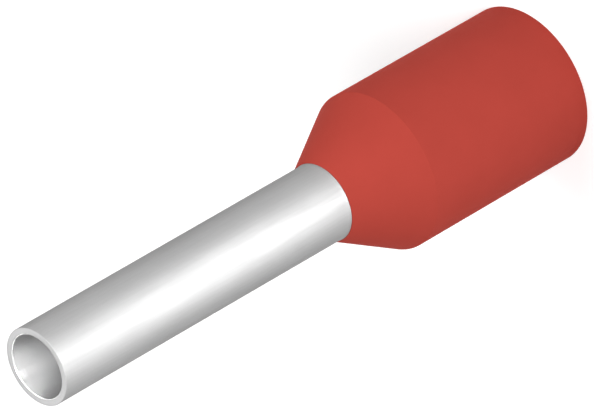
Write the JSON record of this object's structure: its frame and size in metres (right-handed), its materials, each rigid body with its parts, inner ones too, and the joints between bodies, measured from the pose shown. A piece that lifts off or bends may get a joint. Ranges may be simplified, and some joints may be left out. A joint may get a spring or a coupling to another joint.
{
  "type": "insulated wire ferrule",
  "caption": "Insulated wire ferrule: a thin tinned metal sleeve, belled at its rear, held in a red plastic collar with a tapered front.",
  "frame": {"origin": "centre of the plastic collar's open rear face, on which the ferrule stands", "axes": "+Z runs along the axis from the collar's open rear to the tip of the metal sleeve; the part is round about Z, so X and Y are any two directions across it"},
  "size_m": [0.0036, 0.0034, 0.014],
  "materials": {
    "tinned_copper": "satin tin plating on copper",
    "red_polypropylene": "moulded, fine satin"
  },
  "bodies": {
    "root": {"crimp_sleeve": "tinned_copper", "insulating_collar": "red_polypropylene"}
  },
  "joints": []
}
